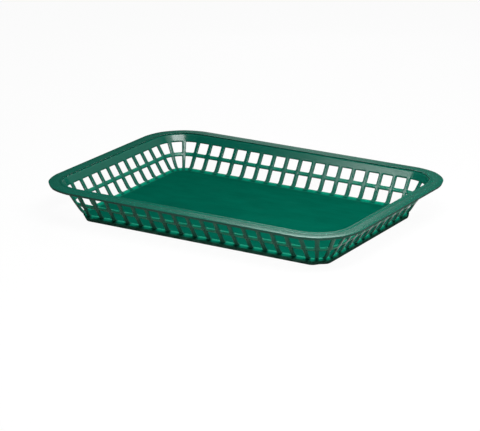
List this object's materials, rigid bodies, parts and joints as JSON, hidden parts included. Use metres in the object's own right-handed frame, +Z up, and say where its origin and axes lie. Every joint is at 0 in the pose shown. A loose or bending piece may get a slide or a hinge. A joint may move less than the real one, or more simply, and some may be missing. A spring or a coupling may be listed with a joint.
{
  "type": "fast food basket",
  "caption": "Rectangular moulded plastic serving basket with round corners, a leaning lattice wall, a solid floor and a broad flat rim.",
  "frame": {"origin": "on the table, under the middle of the basket", "axes": "+X along the long side, +Y towards the far long side, +Z up"},
  "size_m": [0.2982, 0.2176, 0.034],
  "materials": {
    "wall_plastic": "satin moulded plastic, forest green",
    "floor_plastic": "fine pebbled moulded plastic, forest green",
    "rim_plastic": "smooth satin moulded plastic, forest green",
    "base_plastic": "satin moulded plastic, forest green"
  },
  "bodies": {
    "root": {"base_band": "base_plastic", "floor_panel": "floor_plastic", "collar_band": "wall_plastic", "rim_flange": "rim_plastic", "rib_front_01": "wall_plastic", "rib_front_02": "wall_plastic", "rib_front_03": "wall_plastic", "rib_front_04": "wall_plastic", "rib_front_05": "wall_plastic", "rib_front_06": "wall_plastic", "rib_front_07": "wall_plastic", "rib_front_08": "wall_plastic", "rib_front_09": "wall_plastic", "rib_front_10": "wall_plastic", "rib_front_11": "wall_plastic", "rib_front_12": "wall_plastic", "rib_front_13": "wall_plastic", "rib_front_14": "wall_plastic", "rib_front_15": "wall_plastic", "rib_back_01": "wall_plastic", "rib_back_02": "wall_plastic", "rib_back_03": "wall_plastic", "rib_back_04": "wall_plastic", "rib_back_05": "wall_plastic", "rib_back_06": "wall_plastic", "rib_back_07": "wall_plastic", "rib_back_08": "wall_plastic", "rib_back_09": "wall_plastic", "rib_back_10": "wall_plastic", "rib_back_11": "wall_plastic", "rib_back_12": "wall_plastic", "rib_back_13": "wall_plastic", "rib_back_14": "wall_plastic", "rib_back_15": "wall_plastic", "rib_left_01": "wall_plastic", "rib_left_02": "wall_plastic", "rib_left_03": "wall_plastic", "rib_left_04": "wall_plastic", "rib_left_05": "wall_plastic", "rib_left_06": "wall_plastic", "rib_left_07": "wall_plastic", "rib_left_08": "wall_plastic", "rib_left_09": "wall_plastic", "rib_right_01": "wall_plastic", "rib_right_02": "wall_plastic", "rib_right_03": "wall_plastic", "rib_right_04": "wall_plastic", "rib_right_05": "wall_plastic", "rib_right_06": "wall_plastic", "rib_right_07": "wall_plastic", "rib_right_08": "wall_plastic", "rib_right_09": "wall_plastic", "middle_rail_front": "wall_plastic", "middle_rail_back": "wall_plastic", "middle_rail_left": "wall_plastic", "middle_rail_right": "wall_plastic", "corner_lattice_front_left": "wall_plastic", "corner_lattice_front_right": "wall_plastic", "corner_lattice_back_left": "wall_plastic", "corner_lattice_back_right": "wall_plastic"}
  },
  "joints": []
}
